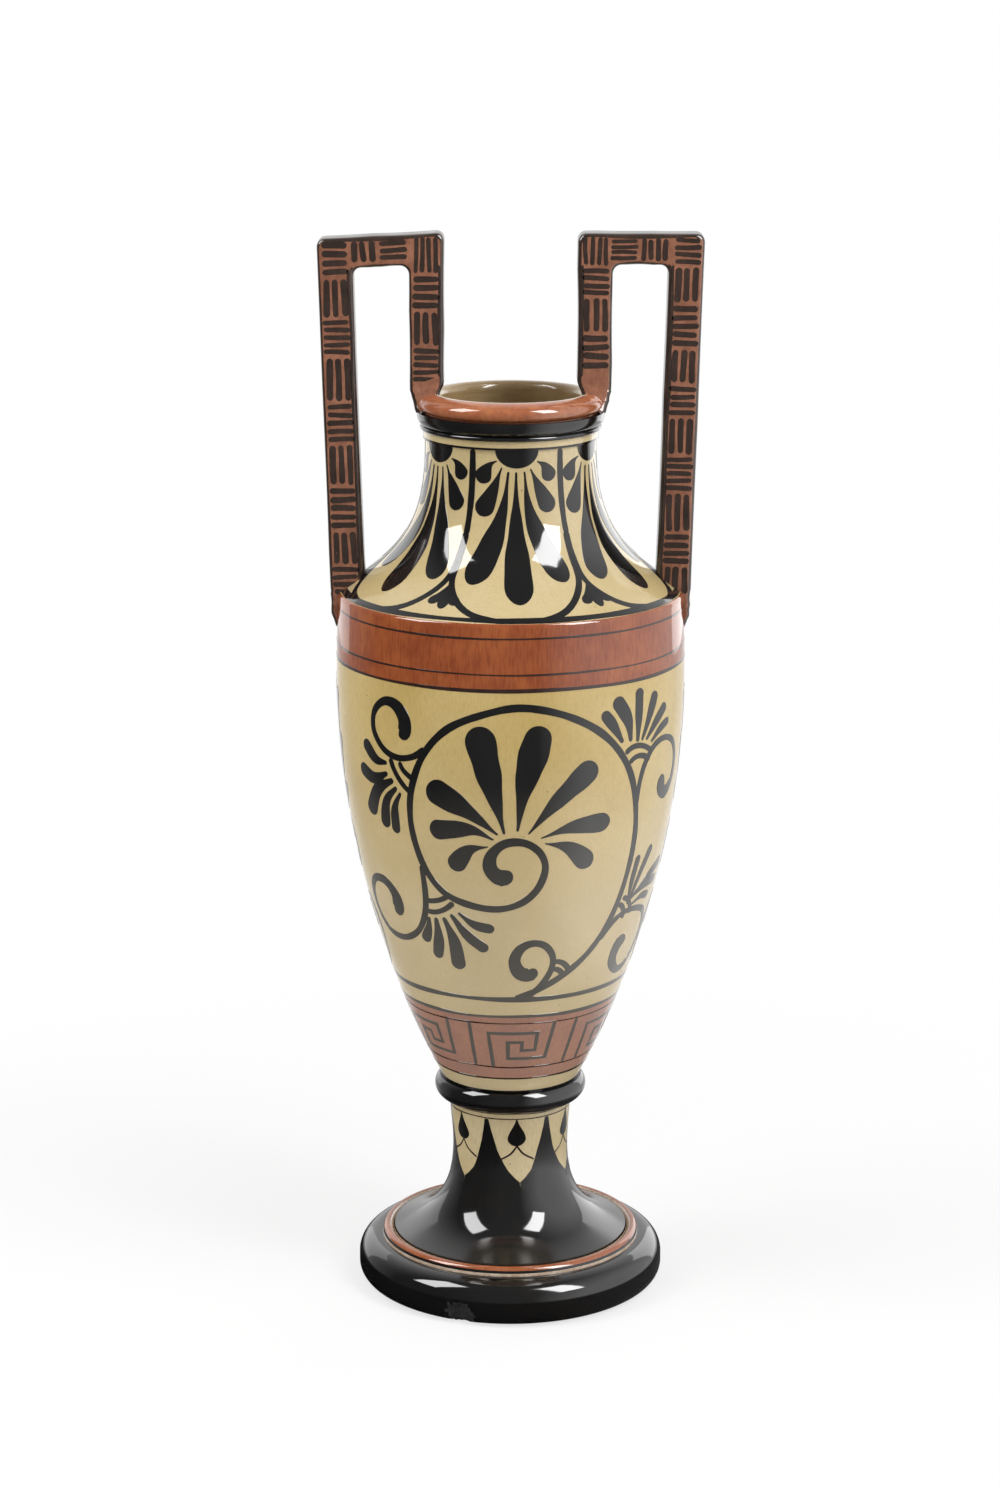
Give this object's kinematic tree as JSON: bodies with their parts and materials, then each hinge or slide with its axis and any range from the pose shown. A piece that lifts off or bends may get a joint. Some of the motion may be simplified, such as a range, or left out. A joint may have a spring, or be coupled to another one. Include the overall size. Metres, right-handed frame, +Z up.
{
  "type": "vase",
  "caption": "Tall footed vase of glazed earthenware in the Greek taste, with an egg-shaped body, a narrow neck and two square-cornered handles from lip to shoulder.",
  "frame": {"origin": "on the vase's axis, at the plane that the foot stands on", "axes": "+Z up along the axis, +X towards the right handle, +Y to the back; the handles lie in the XZ plane"},
  "size_m": [0.1756, 0.1618, 0.5011],
  "materials": {
    "black_glaze": "glossy black slip under clear glaze",
    "cream_glaze": "glossy clear glaze over cream slip with black brushwork",
    "terracotta_glaze": "glossy clear glaze over brushed red-brown slip"
  },
  "bodies": {
    "root": {"foot_plinth": "black_glaze", "pedestal_stem": "black_glaze", "knop_ring": "black_glaze", "body_belly": "cream_glaze", "shoulder_neck": "cream_glaze", "collar_ring": "black_glaze", "mouth_lip": "terracotta_glaze", "left_handle_inner_leg": "terracotta_glaze", "left_handle_top_bar": "terracotta_glaze", "left_handle_outer_leg": "terracotta_glaze", "right_handle_inner_leg": "terracotta_glaze", "right_handle_top_bar": "terracotta_glaze", "right_handle_outer_leg": "terracotta_glaze"}
  },
  "joints": []
}
